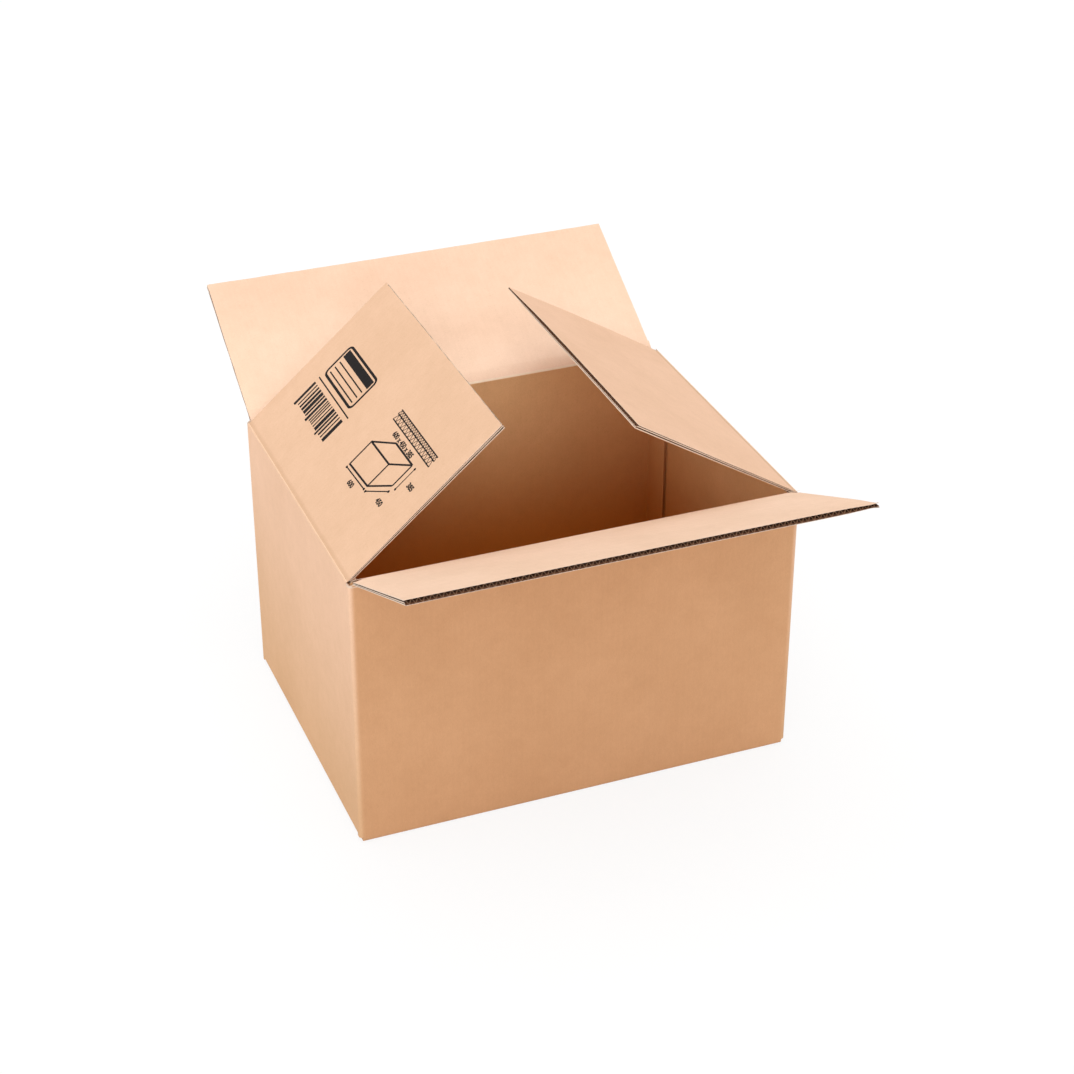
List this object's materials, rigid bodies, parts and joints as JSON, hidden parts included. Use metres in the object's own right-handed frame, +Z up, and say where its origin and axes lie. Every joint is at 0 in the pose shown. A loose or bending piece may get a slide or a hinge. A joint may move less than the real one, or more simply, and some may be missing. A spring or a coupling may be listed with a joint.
{
  "type": "open cardboard box",
  "caption": "Open slotted carton of double-wall corrugated board with a shut bottom, long flaps laid outwards and end flaps leaning in over the opening.",
  "frame": {"origin": "centre of the underside, on the surface it stands on", "axes": "+Z up, X along the box's length, Y across its width with the front wall at -Y"},
  "size_m": [0.6, 0.8512, 0.5589],
  "materials": {
    "kraft_board": "matt brown kraft liner"
  },
  "bodies": {
    "carton": {"carton_body": "kraft_board"},
    "front": {"front_flap": "kraft_board"},
    "back": {"back_flap": "kraft_board"},
    "left": {"left_flap": "kraft_board"},
    "right": {"right_flap": "kraft_board"}
  },
  "joints": [
    {"name": "front_crease", "type": "hinge", "parent": "carton", "child": "front", "pos_m": [0, -0.225, 0.385], "axis": [1, 0, 0], "range_deg": [-66, 109]},
    {"name": "back_crease", "type": "hinge", "parent": "carton", "child": "back", "pos_m": [0, 0.225, 0.385], "axis": [-1, 0, 0], "range_deg": [-60.5, 114.5]},
    {"name": "left_crease", "type": "hinge", "parent": "carton", "child": "left", "pos_m": [-0.3, 0, 0.385], "axis": [0, 1, 0], "range_deg": [-224, 41]},
    {"name": "right_crease", "type": "hinge", "parent": "carton", "child": "right", "pos_m": [0.3, 0, 0.385], "axis": [0, -1, 0], "range_deg": [-233, 32]}
  ]
}
